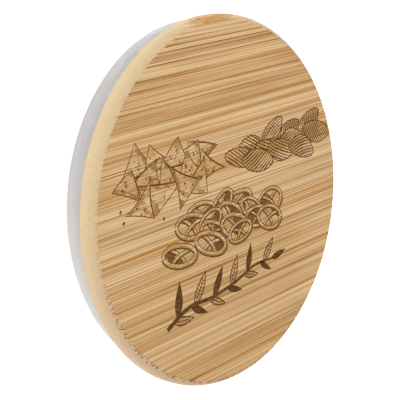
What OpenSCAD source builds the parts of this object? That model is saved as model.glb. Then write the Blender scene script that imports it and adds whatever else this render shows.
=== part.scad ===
// Round bamboo lid of a snack server, with a soft seal round its plug.
// The lid lies plug down: its underside is at z = 0 and its axis is Z. The bamboo strips run along X.
// Units are millimetres.

/* [Lid] */
// Outer diameter of the lid
lid_d = 150; // [110:1:200]
// Height from the plug's underside to the top face
lid_h = 19; // [18:0.5:26]
// Thickness of the flange that rests on the bowl's rim
flange_h = 7; // [6:0.5:9.5]
// Width of the flange's underside outside the seal
rim_w = 3; // [2:0.5:6]
// Radius of the round along the top edge
edge_round = 5; // [3:0.1:5.5]
// How far the face's crisp edge, where the round stops short, lies inside the rim
edge_inset = 2.4; // [0.5:0.1:2.8]
// Radius of the small round along the flange's lower edge
under_round = 0.8; // [0.3:0.1:1]
// Chamfer along the plug's lower edge
plug_chamfer = 1; // [0.5:0.1:2]

/* [Bamboo board] */
// Nominal thickness of one bamboo strip in the board
strip_w = 5; // [4:0.5:8]
// How far a glue line may lie from its even place
strip_wander = 0.4; // [0:0.1:1]

/* [Seal] */
// Width of the seal from the plug to the outside of its skirt
seal_w = 5; // [4.5:0.1:8]
// Height of the seal's lower edge above the plug's underside
seal_lift = 0.9; // [0.5:0.1:2]
// Wall thickness of the seal
seal_wall = 1.5; // [1.2:0.1:1.6]
// Radius of the skirt's rounded shoulder under the flange
seal_shoulder = 3; // [1.6:0.1:3.2]
// Radius of the skirt's lower edge
seal_lip = 1.3; // [0.8:0.1:1.4]
// Gap between the seal and the wood
seal_fit = 0.05; // [0.02:0.01:0.1]

/* [Hidden] */
$fn = 144;
lid_r = lid_d / 2;
seal_out = lid_r - rim_w;
plug_r = seal_out - seal_w;
plug_h = lid_h - flange_h;
edge_h = sqrt(pow(edge_round, 2) - pow(edge_round - edge_inset, 2));
strips = round(lid_d / strip_w);
golden_angle = 137.508;
over = 1;
lap = 0.1;

seal_in = plug_r + seal_fit;
seal_top = plug_h - seal_fit;
slot_in = seal_in + seal_wall;
slot_out = seal_out - seal_wall;
slot_round = (slot_out - slot_in) / 2;
slot_top = seal_top - seal_wall;

// Name of strip i, with two digits so that the names sort in order
function strip_name(i) = str("bamboo_strip_", i < 10 ? "0" : "", i);

// Place of glue line i across the board. Line 0 and the last line lie outside the lid.
function glue_line(i) =
    i == 0 ? -lid_r - over :
    i == strips ? lid_r + over :
    -lid_r + i * lid_d / strips + strip_wander * sin(i * golden_angle);

// Tone of strip i, from 0 to 1
function strip_tone(i) = 0.5 + 0.5 * sin(i * golden_angle * 3);

// Half section of the flange. The large round on top stops at the face in a crisp edge.
module flange_section() {
    side_h = flange_h - edge_h;
    intersection() {
        translate([0, plug_h]) square([lid_r, flange_h]);
        union() {
            translate([0, plug_h]) square([lid_r - edge_round + lap, flange_h + over]);
            translate([0, plug_h]) square([lid_r - under_round, side_h]);
            translate([0, plug_h + under_round]) square([lid_r, side_h - under_round]);
            translate([lid_r - edge_round, plug_h + side_h]) intersection() {
                circle(edge_round);
                translate([0, -lap]) square(edge_round + lap);
            }
            translate([lid_r - under_round, plug_h + under_round]) circle(under_round);
        }
    }
}

// Half section of the plug
module plug_section() {
    polygon([
        [0, 0],
        [plug_r - plug_chamfer, 0],
        [plug_r, plug_chamfer],
        [plug_r, plug_h + over],
        [0, plug_h + over]
    ]);
}

// The whole board as it is turned on a lathe
module turned_board() {
    rotate_extrude() {
        flange_section();
        plug_section();
    }
}

// Strip i of the board, from one glue line to the next
module bamboo_strip(i) {
    tone = strip_tone(i);
    color([0.80 + 0.08 * tone, 0.64 + 0.10 * tone, 0.42 + 0.12 * tone])
        intersection() {
            turned_board();
            translate([-lid_r - over, glue_line(i - 1), -over])
                cube([
                    lid_d + 2 * over,
                    glue_line(i) - glue_line(i - 1),
                    lid_h + 2 * over
                ]);
        }
}

// Outline of the seal's section without its slot
module seal_outline() {
    skirt_top = seal_top - seal_shoulder;
    translate([seal_in, seal_lift]) square([seal_w - seal_fit - seal_lip, skirt_top - seal_lift]);
    translate([seal_in, seal_lift + seal_lip])
        square([seal_w - seal_fit, skirt_top - seal_lift - seal_lip]);
    translate([seal_in, seal_lift])
        square([seal_w - seal_fit - seal_shoulder, seal_top - seal_lift]);
    translate([seal_out - seal_shoulder, skirt_top]) intersection() {
        circle(seal_shoulder);
        translate([0, -lap]) square([seal_shoulder, seal_shoulder + lap]);
    }
    translate([seal_out - seal_lip, seal_lift + seal_lip]) circle(seal_lip);
}

// Slot that leaves the outer skirt free to bend, open below and round at its top
module seal_slot() {
    translate([slot_in, seal_lift - over])
        square([slot_out - slot_in, slot_top - slot_round - seal_lift + over]);
    translate([slot_in + slot_round, slot_top - slot_round]) circle(slot_round);
}

// Soft ring with an inner band on the plug and a free outer skirt
module silicone_seal() {
    color([0.86, 0.85, 0.83])
        rotate_extrude() difference() {
            seal_outline();
            seal_slot();
        }
}

for (i = [1:strips])
    bamboo_strip(i);
silicone_seal();
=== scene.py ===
"""Looks of the bamboo server lid: camera, light, bamboo grain, cloudy seal and the picture on its face.

Places are in metres, in the CAD frame: the lid lies plug down on z = 0, its axis is Z, the bamboo strips run
along X, and the picture's upright direction is +Y. The seal's section and the drawing functions work in
millimetres.
"""

import math
import random

import bmesh
import bpy
import numpy as np
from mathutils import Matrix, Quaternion, Vector


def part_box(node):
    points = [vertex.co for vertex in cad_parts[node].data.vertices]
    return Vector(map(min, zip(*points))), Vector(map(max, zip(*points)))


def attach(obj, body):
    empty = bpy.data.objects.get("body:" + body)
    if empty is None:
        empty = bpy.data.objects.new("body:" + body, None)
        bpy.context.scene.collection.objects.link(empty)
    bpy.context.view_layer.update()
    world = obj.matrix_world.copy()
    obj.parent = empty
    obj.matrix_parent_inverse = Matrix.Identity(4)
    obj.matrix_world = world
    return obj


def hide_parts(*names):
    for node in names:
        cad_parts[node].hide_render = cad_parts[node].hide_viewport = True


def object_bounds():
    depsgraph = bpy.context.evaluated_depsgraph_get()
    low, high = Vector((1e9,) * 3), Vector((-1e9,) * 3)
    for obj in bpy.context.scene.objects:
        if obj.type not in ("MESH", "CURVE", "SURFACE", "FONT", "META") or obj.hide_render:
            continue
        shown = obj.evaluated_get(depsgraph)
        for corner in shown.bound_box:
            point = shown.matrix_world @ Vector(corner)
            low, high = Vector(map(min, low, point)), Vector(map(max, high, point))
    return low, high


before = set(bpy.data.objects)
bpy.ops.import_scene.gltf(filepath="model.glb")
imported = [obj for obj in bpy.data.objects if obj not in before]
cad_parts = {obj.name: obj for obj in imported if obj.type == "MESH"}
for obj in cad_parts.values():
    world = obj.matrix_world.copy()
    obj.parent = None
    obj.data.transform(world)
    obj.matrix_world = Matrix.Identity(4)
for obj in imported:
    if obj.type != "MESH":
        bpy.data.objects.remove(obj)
CAD_BOX = [list(corner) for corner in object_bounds()]

MM = 0.001
LID_R = CAD_BOX[1][0]
TOP_Z = CAD_BOX[1][2]
FACE_INSET = 2.4 * MM
FLANGE_H = 7 * MM
FACE_R = LID_R - FACE_INSET
SEAL_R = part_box("silicone_seal")[1][0]
FLANGE_Z = TOP_Z - FLANGE_H
STRIPS = sorted(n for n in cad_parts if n.startswith("bamboo_strip_"))


# ---------------------------------------------------------------- camera and stage
# Angles are in degrees and the lens is in millimetres.

CAMERA_AZIMUTH = -108.9
CAMERA_ELEVATION = 41.0
CAMERA_ROLL = 97.7
CAMERA_DISTANCE = 0.4584
CAMERA_AIM = Vector((-0.0033, 0.0005, 0.0062))
CAMERA_LENS = 101.4


def direction(azimuth, elevation):
    """Unit vector from the lid towards a camera or lamp: azimuth 0 is -Y, 90 is +X, in degrees."""
    a, e = math.radians(azimuth), math.radians(elevation)
    return Vector((math.sin(a) * math.cos(e), -math.cos(a) * math.cos(e), math.sin(e)))


def make_camera():
    """The camera looks down on the lid from one side, rolled so that the picture stands upright."""
    camera = bpy.data.objects.new("camera", bpy.data.cameras.new("camera"))
    bpy.context.scene.collection.objects.link(camera)
    back = direction(CAMERA_AZIMUTH, CAMERA_ELEVATION)
    level = (-back).to_track_quat("-Z", "Y")
    camera.rotation_mode = "QUATERNION"
    camera.rotation_quaternion = level @ Quaternion((0, 0, 1), math.radians(CAMERA_ROLL))
    camera.location = CAMERA_AIM + back * CAMERA_DISTANCE
    camera.data.lens = CAMERA_LENS
    camera.data.clip_start, camera.data.clip_end = 0.01, 20
    bpy.context.scene.camera = camera


def make_light(name, azimuth, elevation, distance, size, power):
    """A square softbox that faces the lid."""
    lamp = bpy.data.lights.new(name, "AREA")
    lamp.size, lamp.energy = size, power
    light = bpy.data.objects.new(name, lamp)
    bpy.context.scene.collection.objects.link(light)
    way = direction(azimuth, elevation)
    light.location = way * distance
    light.rotation_mode = "QUATERNION"
    light.rotation_quaternion = (-way).to_track_quat("-Z", "Y")


def make_world(strength):
    """Even white light from all round, as in a light tent."""
    world = bpy.data.worlds.new("tent")
    world.use_nodes = True
    sky = world.node_tree.nodes["Background"]
    sky.inputs["Color"].default_value = (1, 1, 1, 1)
    sky.inputs["Strength"].default_value = strength
    bpy.context.scene.world = world


def make_floor():
    """A wide white sheet under the lid. It glows a little, so that shadows on it stay faint."""
    mesh = bpy.data.meshes.new("floor")
    reach, gap = 3.0, 0.05 * MM
    ends = [(-1, -1), (1, -1), (1, 1), (-1, 1)]
    corners = [(x * reach, y * reach, -gap) for x, y in ends]
    mesh.from_pydata(corners, [], [(0, 1, 2, 3)])
    floor = bpy.data.objects.new("floor", mesh)
    bpy.context.scene.collection.objects.link(floor)
    material = bpy.data.materials.new("white_sheet")
    material.use_nodes = True
    shader = material.node_tree.nodes["Principled BSDF"]
    shader.inputs["Base Color"].default_value = (0.9, 0.9, 0.9, 1)
    shader.inputs["Roughness"].default_value = 0.9
    shader.inputs["Specular IOR Level"].default_value = 0.1
    shader.inputs["Emission Color"].default_value = (1, 1, 1, 1)
    shader.inputs["Emission Strength"].default_value = 0.75
    mesh.materials.append(material)


# ---------------------------------------------------------------- material helpers


def srgb(red, green, blue):
    """A colour from 0 to 255 in sRGB as the linear numbers that shaders take."""
    def linear(value):
        value /= 255
        return value / 12.92 if value <= 0.04045 else ((value + 0.055) / 1.055) ** 2.4
    return linear(red), linear(green), linear(blue), 1.0


class Graph:
    """Builds a material's nodes. Apart from node, place and join, each call gives back an output socket."""

    def __init__(self, name):
        self.material = bpy.data.materials.new(name)
        self.material.use_nodes = True
        self.tree = self.material.node_tree
        self.shader = self.tree.nodes["Principled BSDF"]

    def node(self, kind, inputs=(), **settings):
        """Adds a node and gives it back. Each input is a socket to link from, or a constant."""
        made = self.tree.nodes.new(kind)
        for key, value in settings.items():
            setattr(made, key, value)
        for key, value in dict(inputs).items():
            if isinstance(value, bpy.types.NodeSocket):
                self.tree.links.new(value, made.inputs[key])
            else:
                made.inputs[key].default_value = value
        return made

    def math(self, operation, a, b=0.0):
        return self.node("ShaderNodeMath", {0: a, 1: b}, operation=operation).outputs[0]

    def ramp(self, value, low, high, start=0.0, end=1.0):
        """Runs smoothly from start to end as value goes from low to high."""
        inputs = {"Value": value, "From Min": low, "From Max": high, "To Min": start, "To Max": end}
        return self.node("ShaderNodeMapRange", inputs, interpolation_type="SMOOTHSTEP").outputs[0]

    def mix(self, share, a, b, blend="MIX"):
        """Colour b over colour a, by share."""
        made = self.node("ShaderNodeMix", {0: share, 6: a, 7: b}, data_type="RGBA", blend_type=blend,
                         clamp_factor=True)
        return made.outputs[2]

    def place(self):
        """The point's x, y and z in the CAD frame, in metres."""
        coordinates = self.node("ShaderNodeTexCoord").outputs["Object"]
        return self.node("ShaderNodeSeparateXYZ", {0: coordinates}).outputs

    def noise(self, place, scale, seed, detail=2.0):
        """Noise from about 0.2 to 0.8 at a place scaled along x, y and z. Each seed gives another pattern."""
        x, y, z = (self.math("MULTIPLY", axis, times) for axis, times in zip(place, scale))
        where = self.node("ShaderNodeCombineXYZ", {0: x, 1: y, 2: z}).outputs[0]
        inputs = {"Vector": where, "W": seed, "Scale": 1.0, "Detail": detail}
        return self.node("ShaderNodeTexNoise", inputs, noise_dimensions="4D").outputs[0]

    def bump(self, height, depth):
        """Shades the surface as if height, from 0 to 1, stood out by depth metres."""
        inputs = {"Height": height, "Distance": depth, "Strength": 1.0}
        return self.node("ShaderNodeBump", inputs).outputs[0]

    def join(self, socket, name):
        """Links a socket to the shader's input of that name."""
        self.tree.links.new(socket, self.shader.inputs[name])


# ---------------------------------------------------------------- bamboo

BAMBOO_PALE = srgb(237, 204, 155)
BAMBOO_MID = srgb(218, 179, 121)
BAMBOO_HONEY = srgb(204, 151, 83)
BAMBOO_ROSE = srgb(219, 177, 134)
# Fibre colour, also used for the painted shade at the flange's foot.
BAMBOO_FIBRE_AND_FOOT_SHADE = srgb(178, 122, 58)
BAMBOO_VEIN = srgb(150, 94, 38)
BAMBOO_END_ROSE = srgb(209, 180, 146)
BAMBOO_END = srgb(210, 187, 147)
BAMBOO_END_DOT = srgb(198, 166, 124)
BAMBOO_TORN = srgb(140, 84, 50)
BAMBOO_DEEPEN = (0.93, 0.89, 0.82, 1)
GRAIN_SEED = 410
NO_GLUE = 1 * MM


def bamboo_grain(g, place, seed, rng):
    """Long straight fibres along X in bands of varying tone. Gives their colour and the noise of the finest
    threads, which the surface follows too."""
    x, y, z = place
    across = g.math("ADD", y, g.math("MULTIPLY", x, rng.uniform(-0.004, 0.004)))

    def streaks(length, width, offset, detail=0.0):
        """Noise drawn out along the strip: streaks of about that length and width."""
        return g.noise((x, across, z), (1 / length, 1 / width, 1 / width), seed + offset, detail)

    bands = streaks(0.6, 3.2 * MM, 1, detail=1)
    glow = streaks(0.5, 3.0 * MM, 2)
    fade = streaks(0.09, 1.5 * MM, 3)
    veins = streaks(0.8, 1.1 * MM, 4)
    threads = streaks(0.4, 0.5 * MM, 5)
    hairs = streaks(0.06, 0.28 * MM, 6)
    creases = streaks(0.7, 1.0 * MM, 9)

    def lines(noise, width):
        """Thin even lines where the noise passes its middle value."""
        return g.ramp(g.math("ABSOLUTE", g.math("SUBTRACT", noise, 0.5)), width, 0.35 * width)

    tone = rng.uniform(-0.06, 0.06)
    colour = g.mix(g.ramp(bands, 0.42 + tone, 0.58 + tone), BAMBOO_PALE, BAMBOO_MID)
    colour = g.mix(g.ramp(glow, 0.52, 0.62, 0.0, rng.uniform(0.2, 0.9)), colour, BAMBOO_HONEY)
    colour = g.mix(g.ramp(glow, 0.44, 0.34, 0.0, rng.uniform(0.0, 0.9)), colour, BAMBOO_ROSE)
    broken = g.ramp(fade, 0.38, 0.52, 0.3, 1.0)
    vein_share = g.math("MULTIPLY", lines(veins, 0.034), broken)
    vein_share = g.math("MULTIPLY", vein_share, rng.uniform(0.7, 1.0))
    crowded = g.math("MULTIPLY", g.ramp(bands, 0.40, 0.62, 0.45, 0.95), broken)
    colour = g.mix(g.math("MULTIPLY", lines(threads, 0.055), crowded), colour, BAMBOO_FIBRE_AND_FOOT_SHADE)
    colour = g.mix(g.ramp(threads, 0.60, 0.72, 0.0, 0.6), colour, BAMBOO_PALE)
    crease_share = g.math("MULTIPLY", lines(creases, 0.028), g.ramp(fade, 0.42, 0.56, 0.5, 0.9))
    colour = g.mix(crease_share, colour, BAMBOO_VEIN)
    colour = g.mix(vein_share, colour, BAMBOO_VEIN)
    colour = g.mix(g.ramp(hairs, 0.54, 0.68, 0.0, 0.32), colour, BAMBOO_FIBRE_AND_FOOT_SHADE)
    colour = g.mix(g.ramp(hairs, 0.46, 0.34, 0.0, 0.55), colour, BAMBOO_PALE)
    return colour, threads


def bamboo_ends(g, place, seed, colour):
    """Covers the colour with that of the fibres' cut ends, as dots, where the surface faces along X."""
    normal = g.node("ShaderNodeNewGeometry").outputs["Normal"]
    facing_x = g.math("ABSOLUTE", g.node("ShaderNodeSeparateXYZ", {0: normal}).outputs[0])
    dots = g.noise(place, (300, 1500, 1500), seed + 7, detail=1)
    end_colour = g.mix(g.ramp(place[1], -45 * MM, 15 * MM), BAMBOO_END_ROSE, BAMBOO_END)
    end_colour = g.mix(g.ramp(dots, 0.54, 0.78, 0.0, 0.6), end_colour, BAMBOO_END_DOT)
    return g.mix(g.ramp(facing_x, 0.04, 0.3), colour, g.mix(0.1, end_colour, colour))


def torn_fibres(g, place, radius, seed):
    """Share of torn fibres: ticks along the face's edge, most of them on its -Y side."""
    _, y, z = place
    off_edge = g.math("ABSOLUTE", g.math("SUBTRACT", radius, FACE_R + 0.2 * MM))
    at_edge = g.math("MULTIPLY", g.ramp(off_edge, 0.9 * MM, 0.4 * MM),
                     g.ramp(z, TOP_Z - 2.0 * MM, TOP_Z - 1.0 * MM))
    ticks = g.noise(place, (600, 1500, 0), seed + 8)
    return g.math("MULTIPLY", g.math("MULTIPLY", at_edge, g.ramp(ticks, 0.51, 0.59)),
                  g.ramp(y, 5 * MM, -40 * MM, 0.15, 0.95))


def bamboo_material(name, low_y, high_y, rng):
    """Bamboo strip on edge, with dark glue lines at low_y and high_y. The board is deeper in tone towards -Y,
    except near its +X end, and a painted contact shadow darkens the foot of the flange outside the seal."""
    g = Graph(name)
    place = g.place()
    x, y, z = place
    seed = rng.uniform(0, 100)
    colour, threads = bamboo_grain(g, place, seed, rng)
    off_glue = g.math("MINIMUM", g.math("SUBTRACT", y, low_y), g.math("SUBTRACT", high_y, y))
    glue = g.ramp(off_glue, 0.22 * MM, 0.10 * MM, 0.0, rng.uniform(0.3, 0.9))
    colour = g.mix(glue, colour, BAMBOO_VEIN)
    deeper = g.math("MULTIPLY", g.ramp(y, -10 * MM, -26 * MM), g.ramp(x, 60 * MM, 35 * MM))
    colour = g.mix(deeper, colour, BAMBOO_DEEPEN, blend="MULTIPLY")
    colour = bamboo_ends(g, place, seed, colour)
    radius = g.math("SQRT", g.math("ADD", g.math("MULTIPLY", x, x), g.math("MULTIPLY", y, y)))
    torn = torn_fibres(g, place, radius, seed)
    colour = g.mix(torn, colour, BAMBOO_TORN)
    # Painted shade: a contact shadow in the fibre colour along the flange's foot, outside the seal.
    foot = g.math("MULTIPLY", g.ramp(z, FLANGE_Z + 0.8 * MM, FLANGE_Z + 0.2 * MM, 0.0, 0.5),
                  g.ramp(radius, SEAL_R, SEAL_R + 1 * MM))
    colour = g.mix(foot, colour, BAMBOO_FIBRE_AND_FOOT_SHADE)

    g.join(colour, "Base Color")
    g.join(g.ramp(threads, 0.3, 0.7, 0.52, 0.66), "Roughness")
    g.join(g.bump(g.math("SUBTRACT", threads, torn), 0.03 * MM), "Normal")
    g.shader.inputs["Specular IOR Level"].default_value = 0.25
    return g.material


def finish_strips():
    """Gives every bamboo strip its own grain. The outer glue lines of the first and the last strip, which
    aren't real, are put outside the lid."""
    for number, node in enumerate(STRIPS):
        rng = random.Random(GRAIN_SEED + number)
        low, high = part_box(node)
        low_y = low.y - (NO_GLUE if node == STRIPS[0] else 0)
        high_y = high.y + (NO_GLUE if node == STRIPS[-1] else 0)
        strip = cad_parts[node]
        strip.data.materials.clear()
        strip.data.materials.append(bamboo_material("grain_" + node, low_y, high_y, rng))


# ---------------------------------------------------------------- seal, in millimetres

SEAL_INNER_R = 67.05
SEAL_WALL = 1.2
SEAL_BOW = 0.4
SEAL_SHOULDER_R = 2.6
SEAL_BAND_ROUND = 0.4
SEAL_TURNS = 288
SKIRT_LIFT = 0.9
SKIRT_SHIFT = 1.2
SKIRT_TILT = 1.2
SEAL_CLEAR = srgb(198, 196, 194)
# Painted shade colours of the seal: towards +Y, and along its foot.
SEAL_PAINTED_SHADE_FAR = srgb(175, 172, 174)
SEAL_CLOUD = srgb(210, 207, 203)
SEAL_FOOT_SHADE = srgb(150, 150, 158)


def arc(centre, radius, start, end, steps):
    """Points on an arc in a section, from angle start to end in degrees, as (r, z)."""
    angles = np.radians(np.linspace(start, end, steps + 1))
    return [(centre[0] + radius * math.cos(a), centre[1] + radius * math.sin(a)) for a in angles]


def seal_section():
    """Closed section of the seal in millimetres, as (r, z), counter-clockwise: a band on the plug, a web
    under the flange, and an outer skirt that bows outwards and ends a little higher than the band."""
    low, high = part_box("silicone_seal")
    bottom, top, outer = low.z / MM, high.z / MM, high.x / MM
    lip = SEAL_WALL / 2
    shoulder_z, lip_z = top - SEAL_SHOULDER_R, bottom + SKIRT_LIFT + lip

    def bow(z):
        """Radius of the skirt's outside at height z."""
        middle, half = (shoulder_z + lip_z) / 2, (shoulder_z - lip_z) / 2
        return outer - SEAL_BOW * ((z - middle) / half) ** 2

    heights = np.linspace(lip_z, shoulder_z, 13)
    slot_top = top - SEAL_WALL
    slot_in = SEAL_INNER_R + SEAL_WALL
    slot_out = outer - SEAL_BOW - SEAL_WALL
    slot_r = (slot_out - slot_in) / 2
    section = [(bow(z), z) for z in heights]
    section += arc((bow(shoulder_z) - SEAL_SHOULDER_R, shoulder_z), SEAL_SHOULDER_R, 8, 90, 10)
    band = SEAL_BAND_ROUND
    section += arc((SEAL_INNER_R + band, top - band), band, 90, 180, 4)
    section += arc((SEAL_INNER_R + lip, bottom + lip), lip, 180, 360, 10)
    section += [(slot_in, z) for z in np.linspace(bottom + lip + 1, slot_top - slot_r - 1, 4)]
    section += arc((slot_in + slot_r, slot_top - slot_r), slot_r, 180, 0, 10)
    section += [(bow(z) - SEAL_WALL, z) for z in heights[-3:1:-1]]
    section += arc((bow(lip_z) - lip, lip_z), lip, 180, 352, 10)
    return section, slot_in, slot_out, bottom, top


def seal_mesh(name):
    """The section turned about Z as a closed ring. The soft skirt sits a little off centre and hangs a little
    askew, towards +Y; the band on the plug stays true."""
    section, slot_in, slot_out, bottom, top = seal_section()
    count = len(section)
    points = []
    for turn in range(SEAL_TURNS):
        angle = 2 * math.pi * turn / SEAL_TURNS
        for r, z in section:
            t = min(max((r - slot_in) / (slot_out - slot_in), 0), 1)
            loose = t * t * (3 - 2 * t)
            hang = SKIRT_TILT * math.sin(angle) * loose * (top - z) / (top - bottom)
            x, y = r * math.cos(angle), r * math.sin(angle) + SKIRT_SHIFT * loose
            points.append((x * MM, y * MM, (z - hang) * MM))
    faces = []
    for turn in range(SEAL_TURNS):
        here, there = turn * count, (turn + 1) % SEAL_TURNS * count
        for k in range(count):
            after = (k + 1) % count
            faces.append((here + k, there + k, there + after, here + after))
    mesh = bpy.data.meshes.new(name)
    mesh.from_pydata(points, [], faces)
    mesh.polygons.foreach_set("use_smooth", [True] * len(faces))
    mesh.update()
    return mesh


def seal_material():
    """Cloudy silicone with painted shade towards +Y and painted shade along its foot by the floor: light
    sinks in a little way, and the surface is satin with a faint haze."""
    g = Graph("cloudy_silicone")
    place = g.place()
    _, y, z = place
    cloud = g.noise(place, (120, 120, 260), 3.0)
    haze = g.noise(place, (900, 900, 900), 8.0)
    # Painted shade: the silicone turns darker towards +Y.
    clear = g.mix(g.ramp(y, -0.35 * LID_R, 0.8 * LID_R), SEAL_CLEAR, SEAL_PAINTED_SHADE_FAR)
    colour = g.mix(g.ramp(cloud, 0.3, 0.7, 0.0, 0.25), clear, SEAL_CLOUD)
    # Painted shade: darker along the seal's foot, where it meets the floor.
    colour = g.mix(g.ramp(z, 4.0 * MM, 1.5 * MM, 0.0, 0.3), colour, SEAL_FOOT_SHADE)
    g.join(colour, "Base Color")
    g.join(g.ramp(haze, 0.3, 0.7, 0.34, 0.46), "Roughness")
    g.join(g.bump(haze, 0.01 * MM), "Normal")
    g.shader.inputs["IOR"].default_value = 1.41
    g.shader.inputs["Subsurface Weight"].default_value = 0.55
    g.shader.inputs["Subsurface Radius"].default_value = (1.0, 0.95, 0.9)
    g.shader.inputs["Subsurface Scale"].default_value = 2.5 * MM
    return g.material


def make_seal():
    """The seal with its soft skirt, in place of the plain CAD ring."""
    seal = bpy.data.objects.new("seal_ring", seal_mesh("seal_ring"))
    bpy.context.scene.collection.objects.link(seal)
    seal.data.materials.append(seal_material())
    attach(seal, "seal")
    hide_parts("silicone_seal")


# ---------------------------------------------------------------- drawing on the face, in millimetres

LINE = 0.40
FINE = 0.26
THINNEST = 0.08
STEP = 0.45
EDGE_MARGIN = 0.4
THIRD_TURN = 2.094
WASH, SHADE, BURN = 0, 1, 2


def resample(points, step=STEP):
    """The same polyline with points about a step apart."""
    points = np.asarray(points, float)
    lengths = np.hypot(*np.diff(points, axis=0).T)
    at = np.concatenate([[0], np.cumsum(lengths)])
    count = max(2, int(round(at[-1] / step)) + 1)
    want = np.linspace(0, at[-1], count)
    return np.stack([np.interp(want, at, points[:, k]) for k in (0, 1)], 1)


def inside(points, outline):
    """Which points lie inside a closed outline."""
    x, y = points[:, :1], points[:, 1:]
    ax, ay = outline[:, 0], outline[:, 1]
    bx, by = np.roll(ax, -1), np.roll(ay, -1)
    crosses = (ay > y) != (by > y)
    slope = (bx - ax) / np.where(by == ay, 1e-9, by - ay)
    return (crosses & (x < ax + (y - ay) * slope)).sum(1) % 2 == 1


def near(points, path, distance):
    """Which points lie within a distance of a path."""
    gaps = np.hypot(points[:, :1] - path[:, 0], points[:, 1:] - path[:, 1])
    return gaps.min(1) < distance


def split(points, keep, widths):
    """The runs of a stroke where keep is true, at least two points long."""
    edges = np.flatnonzero(np.diff(np.concatenate([[0], keep.astype(int), [0]])))
    return [(points[a:b], widths[a:b]) for a, b in zip(edges[::2], edges[1::2]) if b - a >= 2]


def turned(points, angle, centre=(0, 0)):
    """Points turned by an angle in radians, then moved by centre."""
    c, s = math.cos(angle), math.sin(angle)
    return np.asarray(points, float) @ np.array([[c, s], [-s, c]]) + np.asarray(centre)


def curve(points, steps=12):
    """A smooth curve through the points."""
    points = np.asarray(points, float)
    ends = np.concatenate([[2 * points[0] - points[1]], points, [2 * points[-1] - points[-2]]])
    made = []
    for k in range(1, len(ends) - 2):
        p0, p1, p2, p3 = ends[k - 1:k + 3]
        for t in np.linspace(0, 1, steps, endpoint=False):
            made.append(0.5 * (2 * p1 + (p2 - p0) * t + (2 * p0 - 5 * p1 + 4 * p2 - p3) * t ** 2
                               + (3 * p1 - p0 - 3 * p2 + p3) * t ** 3))
    made.append(points[-1])
    return np.array(made)


def bowed(a, b, bow):
    """A side from a to b that bows to its left by bow times its length."""
    t = np.linspace(0, 1, 15)[:, None]
    left = np.array([a[1] - b[1], b[0] - a[0]])
    return a + (b - a) * t + left * bow * 4 * t * (1 - t)


def blots(rng, size):
    """A function that is true on random blots of about that size, and false between them."""
    waves = [(rng.uniform(1.5, 4) / size, rng.uniform(0, math.pi), rng.uniform(0, 6.3)) for _ in range(5)]

    def value(points):
        x, y = points[:, 0], points[:, 1]
        return sum(np.sin(k * (x * math.cos(a) + y * math.sin(a)) + p) for k, a, p in waves) > 0
    return value


class Picture:
    """Strokes on the face, each a centre line, a width at each point and a tone."""

    def __init__(self, seed):
        self.strokes = []
        self.rng = random.Random(seed)

    def draw(self, points, width, keep=None, taper=0.0, tone=BURN):
        """Adds a stroke, only where keep(points) is true. Taper thins its ends, from 0 to 1."""
        points = resample(points)
        kept = np.ones(len(points), bool) if keep is None else keep(points)
        for run, _ in split(points, kept, points):
            along = np.linspace(-1, 1, len(run))
            self.strokes.append((run, width * (1 - taper * along ** 2), tone))

    def hatch(self, keep, centre, reach, angle, spacing, width, tone):
        """Parallel strokes over the part of a disc where keep(points) is true."""
        for offset in np.arange(-reach, reach, spacing):
            half = math.sqrt(reach ** 2 - offset ** 2)
            if half > STEP:
                self.draw(turned([(-half, offset), (half, offset)], angle, centre), width, keep, tone=tone)

    def hide(self, covered):
        """Cuts away what covered(points) says is under a new shape."""
        self.strokes = [(run, wide, tone) for points, widths, tone in self.strokes
                        for run, wide in split(points, ~covered(points), widths)]


# ---------------------------------------------------------------- snacks


def corn_chip(picture, centre, size, turn, squash):
    """A three-cornered chip: slightly bowed sides, shade by two corners and one side, and specks."""
    rng = picture.rng
    angles = [turn + k * THIRD_TURN + rng.uniform(-0.3, 0.3) for k in range(3)]
    reach = [size * rng.uniform(0.85, 1.25) for _ in angles]
    corners = [np.array([math.cos(a) * r, math.sin(a) * r * squash]) + centre
               for a, r in zip(angles, reach)]
    sides = [bowed(corners[k], corners[(k + 1) % 3], rng.uniform(-0.05, 0.09)) for k in range(3)]
    outline = np.concatenate([s[:-1] for s in sides])
    middle = outline.mean(0)
    picture.hide(lambda p: inside(p, outline))

    grain = rng.uniform(0, math.pi)
    texture = blots(rng, 2.4)
    picture.hatch(lambda p: inside(p, outline) & texture(p), middle, 1.3 * size, grain, 0.85, 0.26, WASH)
    for corner in rng.sample(corners, 2):
        deep, blot = rng.uniform(0.4, 0.7) * size, blots(rng, 2.0)
        picture.hatch(lambda p: inside(p, outline)
                      & (np.hypot(*(p - corner).T) < deep * (0.65 + 0.5 * blot(p))),
                      corner, deep * 1.2, grain, 0.5, 0.42, WASH)
        picture.hatch(lambda p: inside(p, outline) & (np.hypot(*(p - corner).T) < deep * 0.6),
                      corner, deep * 0.6, rng.uniform(0, math.pi), 0.62, 0.26, SHADE)
    dark_side, blot = rng.choice(sides), blots(rng, 2.6)
    picture.hatch(lambda p: inside(p, outline) & near(p, dark_side, 1.9) & blot(p), middle, 1.3 * size,
                  rng.uniform(0, math.pi), 0.5, 0.3, SHADE)
    for edge in sides:
        picture.draw(edge, LINE, taper=0.4)
    lip = rng.choice(sides)
    picture.draw(lip + (middle - lip) * 0.08, FINE, taper=0.6)
    for _ in range(rng.randint(9, 15)):
        weights = np.array([rng.random() + 0.1 for _ in range(3)])
        spot = (weights / weights.sum()) @ np.array(corners)
        long = rng.uniform(0.25, 0.8)
        ends = turned([(-long, 0), (0, rng.uniform(-0.2, 0.2)), (long, 0)], rng.uniform(0, math.pi), spot)
        picture.draw(ends, rng.uniform(0.35, 0.9), lambda p: inside(p, outline), taper=0.7,
                     tone=rng.choice((SHADE, BURN)))


def crumb(picture, centre, size):
    """A small broken bit: a short dark blot with a corner."""
    for turn, wide in ((0.4, 0.9), (1.7, 0.6)):
        picture.draw(turned([(-size, 0), (0, size * 0.3), (size, 0)], turn, centre), wide, taper=0.8)


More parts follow.
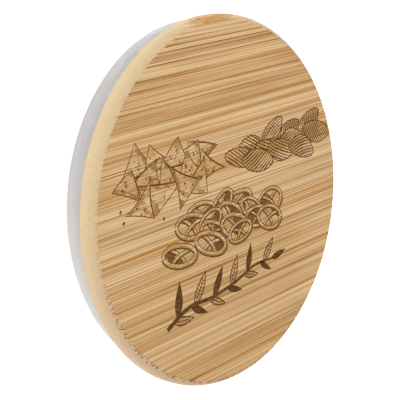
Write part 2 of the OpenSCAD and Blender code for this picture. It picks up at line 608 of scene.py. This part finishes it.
def ridged_crisp(picture, centre, length, height, turn, ridge_turn):
    """A ridged crisp, a bent oval with blunt ends: scalloped edge, dark furrows and shade towards one end."""
    rng = picture.rng
    t = np.linspace(0, 2 * math.pi, 110)
    scallop = 1 + 0.03 * np.sin(t * 19 + rng.uniform(0, 6))
    bend = rng.uniform(-0.35, 0.35)
    blunt = 1 + 0.12 * np.cos(2 * t)
    oval = np.stack([length * np.cos(t) * scallop * blunt,
                     height * (np.sin(t) * scallop + bend * np.cos(t) ** 2)], 1)
    outline = turned(oval, turn, centre)
    picture.hide(lambda p: inside(p, outline))
    picture.draw(outline, LINE * 1.15)
    way = np.array([math.cos(ridge_turn), math.sin(ridge_turn)])
    shaded_end = rng.choice((-1, 1))
    blot = blots(rng, 2.5)
    picture.hatch(lambda p: inside(p, outline)
                  & ((p - centre) @ way * shaded_end > (0.25 - 0.3 * blot(p)) * length),
                  centre, length * 1.2, ridge_turn, 0.62, 0.36, WASH)
    arch = rng.uniform(-0.18, 0.18)
    across = np.linspace(-1.3, 1.3, 21) * length
    for offset in np.arange(-length * 1.1, length * 1.1, rng.uniform(1.15, 1.35)):
        furrow = turned(np.stack([across, offset + arch * across ** 2 / length], 1), ridge_turn, centre)
        picture.draw(furrow, 0.46, lambda p: inside(p, outline), taper=0.4)
        start = rng.uniform(-0.9, 0.5) * length
        picture.draw(furrow + turned([(0, 0.3)], ridge_turn), 0.4, lambda p: inside(p, outline)
                     & ((p - centre) @ way * shaded_end > start), taper=0.5, tone=SHADE)


def dough_rope(picture, path, radius):
    """A rope of baked dough: two dark edges, shaded on its lower side, with fine strokes round it."""
    rng = picture.rng
    path = resample(path, 0.4)
    way = np.gradient(path, axis=0)
    way /= np.hypot(*way.T)[:, None]
    left = np.stack([-way[:, 1], way[:, 0]], 1)
    picture.hide(lambda p: near(p, path, radius))
    for edge in (-1, 1):
        lower = edge * left[:, 1] < 0
        for run, _ in split(path + left * radius * edge, lower, path):
            picture.draw(run, LINE * 1.35)
        for run, _ in split(path + left * radius * edge, ~lower, path):
            picture.draw(run, LINE * 0.85)
        for run, _ in split(path + left * radius * 0.55 * edge, lower, path):
            picture.draw(run, radius * 0.6, tone=WASH)
    for k in range(1, len(path) - 1, 2):
        lower = -1 if left[k, 1] > 0 else 1
        edge = path[k] + left[k] * lower * radius
        reach = radius * (0.5 + 0.9 * rng.random())
        if rng.random() < 0.8:
            picture.draw(np.stack([edge, edge - left[k] * lower * reach + way[k] * 0.3]), FINE, tone=SHADE)
        if rng.random() < 0.35:
            edge = path[k] - left[k] * lower * radius
            picture.draw(np.stack([edge, edge + left[k] * lower * reach * 0.5]), FINE * 0.8, tone=SHADE)


def baked_knot(picture, centre, length, height, turn):
    """A ring of dough with two ropes crossed in it. What shows through its holes is in shadow."""
    rng = picture.rng
    radius = 0.9 * (length / 8)
    t = np.linspace(0, 2 * math.pi, 60)
    ring = turned(np.stack([length * np.cos(t), height * np.sin(t)], 1), turn, centre)
    blot = blots(rng, 5.0)
    picture.hatch(lambda p: near(p, ring + (0.3, -0.3), radius + 0.5),
                  centre, length + 2, 0.9, 0.5, 0.36, SHADE)
    picture.hide(lambda p: inside(p, ring))
    picture.hatch(lambda p: inside(p, ring) & blot(p), centre, length, turn + 0.6, 0.42, 0.44, SHADE)
    picture.hatch(lambda p: inside(p, ring) & blot(p), centre, length, turn + 2.0, 1.0, 0.4, BURN)
    picture.hatch(lambda p: inside(p, ring) & ~blot(p), centre, length, turn + 2.2, 0.85, 0.3, WASH)
    for sign in rng.sample((-1, 1), 2):
        rope = [(sign * 0.66 * length, 0.62 * height), (sign * 0.25 * length, 0.3 * height),
                (-sign * 0.15 * length, -0.2 * height), (-sign * 0.42 * length, -0.85 * height)]
        dough_rope(picture, turned(curve(rope), turn, centre), radius * 0.8)
    dough_rope(picture, ring, radius)


def heap(picture, rows, jitter, draw_one):
    """Draws rows of things, each row (y, left x, right x, how many) over the one before."""
    rng = picture.rng
    for y, left, right, count in rows:
        order = list(range(count))
        rng.shuffle(order)
        for k in order:
            x = left + (right - left) * k / (count - 1)
            draw_one(np.array([x + rng.uniform(-jitter, jitter), y + rng.uniform(-jitter, jitter)]))


def draw_corn_chips():
    """A wide heap of corn chips, upper left on the face, with a few crumbs."""
    picture = Picture(7)
    rng = picture.rng
    rows = [(24, -48, -12, 5), (18, -54, -10, 5), (13, -47, -18, 4)]
    heap(picture, rows, 1.8, lambda at: corn_chip(picture, at, rng.uniform(9.5, 11.5), rng.uniform(0, 6.3),
                                                  rng.uniform(0.65, 0.85)))
    for at in ((-60, 11), (-59, 6.5), (-38, 3)):
        crumb(picture, np.array(at), 0.8)
    return picture


def draw_crisps():
    """A wide heap of ridged crisps, upper right on the face."""
    picture = Picture(12)
    rng = picture.rng
    rows = [(20.5, 17, 54, 4), (17.5, 10, 60, 4), (13.5, 21, 51, 3)]

    def one(at):
        turn = rng.uniform(-0.6, 0.9)
        ridged_crisp(picture, at, rng.uniform(7.8, 10.2), rng.uniform(3.8, 5.0), turn,
                     turn + rng.choice((-1, 1)) * rng.uniform(0.0, 0.9))
    heap(picture, rows, 1.2, one)
    return picture


def draw_knots():
    """A heap of baked knots in the middle of the face, widest at its foot."""
    picture = Picture(7)
    rng = picture.rng
    rows = [(0.5, -16, 5, 3), (-4.5, -24, 27, 5), (-9.5, -12, 16, 3), (-13.5, -31, 24, 4)]
    heap(picture, rows, 1.3, lambda at: baked_knot(picture, at, rng.uniform(6.2, 9.4), rng.uniform(3.4, 5.4),
                                                   rng.uniform(-0.7, 0.7)))
    return picture


# ---------------------------------------------------------------- leafy sprig


def leaf(picture, root, angle, length, filled):
    """A pointed leaf. A filled one is one swelling stroke; an open one is an outline with veins."""
    spine = turned(curve([(0, 0), (length * 0.5, length * 0.06), (length, length * 0.16)]), angle, root)
    spine = resample(spine, 0.3)
    along = np.linspace(0, 1, len(spine))
    swell = 0.29 * length * np.sin(math.pi * along ** 0.75)
    if filled:
        picture.strokes.append((spine, 0.12 + swell, BURN))
        return
    way = np.gradient(spine, axis=0)
    way /= np.hypot(*way.T)[:, None]
    left = np.stack([-way[:, 1], way[:, 0]], 1)
    for edge in (-0.5, 0.5):
        picture.draw(spine + left * (swell * edge)[:, None], 0.6, taper=0.3)
    picture.draw(spine[:-len(spine) // 4], 0.45, taper=0.4)
    for k in range(len(spine) // 6, 3 * len(spine) // 4, 5):
        for edge in (-0.5, 0.5):
            tip = spine[k] + way[k] * 1.2 + left[k] * swell[k] * edge
            picture.draw(np.stack([spine[k], tip]), 0.3)


def draw_sprig():
    """A long leafy sprig, below the heaps."""
    picture = Picture(31)
    bends = [(-42, -40.5), (-29, -35.5), (-14, -35.5), (0, -33.5), (13, -30), (24, -30.5)]
    stem = resample(curve(bends), 0.4)
    picture.strokes.append((stem, np.linspace(2.0, 0.9, len(stem)), BURN))
    way = np.gradient(stem, axis=0)
    pairs = 6
    for k in range(pairs):
        at = int(len(stem) * (0.10 + 0.82 * k / (pairs - 1)))
        heading = math.atan2(way[at, 1], way[at, 0])
        size = 14.5 - 3.5 * k / (pairs - 1)
        leaf(picture, stem[at], heading + 0.8, size, k % 2 == 0)
        leaf(picture, stem[at - 6], heading - 0.7, size * 0.78, k % 2 == 1)
    leaf(picture, stem[-1], heading + 0.1, 10, True)
    return picture


# ---------------------------------------------------------------- engraving


def ribbon(builder, points, widths, top, bottom):
    """Adds one stroke to the mesh as a thin closed solid that lies in the face."""
    way = np.gradient(points, axis=0)
    way /= np.maximum(np.hypot(*way.T), 1e-9)[:, None]
    left = np.stack([-way[:, 1], way[:, 0]], 1) * widths[:, None] / 2
    rows = []
    for one, other in zip(points + left, points - left):
        corners = [(one, top), (other, top), (other, bottom), (one, bottom)]
        rows.append([builder.verts.new((p[0] * MM, p[1] * MM, z)) for p, z in corners])
    for here, there in zip(rows, rows[1:]):
        for k in range(4):
            after = (k + 1) % 4
            builder.faces.new((here[k], here[after], there[after], there[k]))
    builder.faces.new(rows[0][::-1])
    builder.faces.new(rows[-1])


TONE_TOP = [0.006 * MM, 0.016 * MM, 0.026 * MM]
TONE_COLOUR = [srgb(186, 142, 85), srgb(134, 93, 43), srgb(87, 53, 15)]
TONE_WORN = srgb(180, 132, 82)
LAYER = 0.0007 * MM
LAYERS = 7
STROKE_DEPTH = 0.1 * MM


def engraving(name, picture, material):
    """Makes the picture's strokes one piece, a hair proud of the face so that it shows. Darker tones lie on
    top. Within a tone the strokes take a few heights in turn, so that most that cross aren't in one plane."""
    builder = bmesh.new()
    limit = FACE_R / MM - EDGE_MARGIN
    for number, (points, widths, tone) in enumerate(picture.strokes):
        extra = number % LAYERS * LAYER
        top, bottom = TOP_Z + TONE_TOP[tone] + extra, TOP_Z - STROKE_DEPTH - extra
        for run, wide in split(points, np.hypot(*points.T) < limit, widths):
            ribbon(builder, run, np.maximum(wide, THINNEST), top, bottom)
    mesh = bpy.data.meshes.new(name)
    bmesh.ops.recalc_face_normals(builder, faces=builder.faces)
    builder.to_mesh(mesh)
    builder.free()
    piece = bpy.data.objects.new(name, mesh)
    bpy.context.scene.collection.objects.link(piece)
    mesh.materials.append(material)
    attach(piece, "lid")


def burnt_material():
    """Scorched wood. The tone follows the height of the stroke: a light wash lowest, burnt lines highest."""
    g = Graph("scorched_bamboo")
    place = g.place()
    above = g.math("SUBTRACT", place[2], TOP_Z)
    colour = TONE_COLOUR[0]
    for upper, shade in zip(TONE_TOP[1:], TONE_COLOUR[1:]):
        change = upper - 0.002 * MM
        colour = g.mix(g.ramp(above, change - 0.001 * MM, change + 0.001 * MM), colour, shade)
    char = g.noise(place, (500, 1400, 1400), 4.0)
    colour = g.mix(g.ramp(char, 0.4, 0.7, 0.0, 0.25), colour, TONE_WORN)
    g.join(colour, "Base Color")
    g.join(g.ramp(char, 0.3, 0.7, 0.7, 0.85), "Roughness")
    g.shader.inputs["Specular IOR Level"].default_value = 0.15
    return g.material


# ---------------------------------------------------------------- the scene

make_camera()
make_world(strength=0.6)
make_light("key_softbox", azimuth=-150, elevation=66, distance=1.1, size=0.9, power=4.6)
make_light("fill_softbox", azimuth=-115, elevation=30, distance=1.2, size=0.9, power=0.8)
make_floor()
finish_strips()
make_seal()
scorched = burnt_material()
engraving("engraved_corn_chips", draw_corn_chips(), scorched)
engraving("engraved_crisps", draw_crisps(), scorched)
engraving("engraved_knots", draw_knots(), scorched)
engraving("engraved_sprig", draw_sprig(), scorched)
bpy.context.scene.view_settings.view_transform = "Standard"
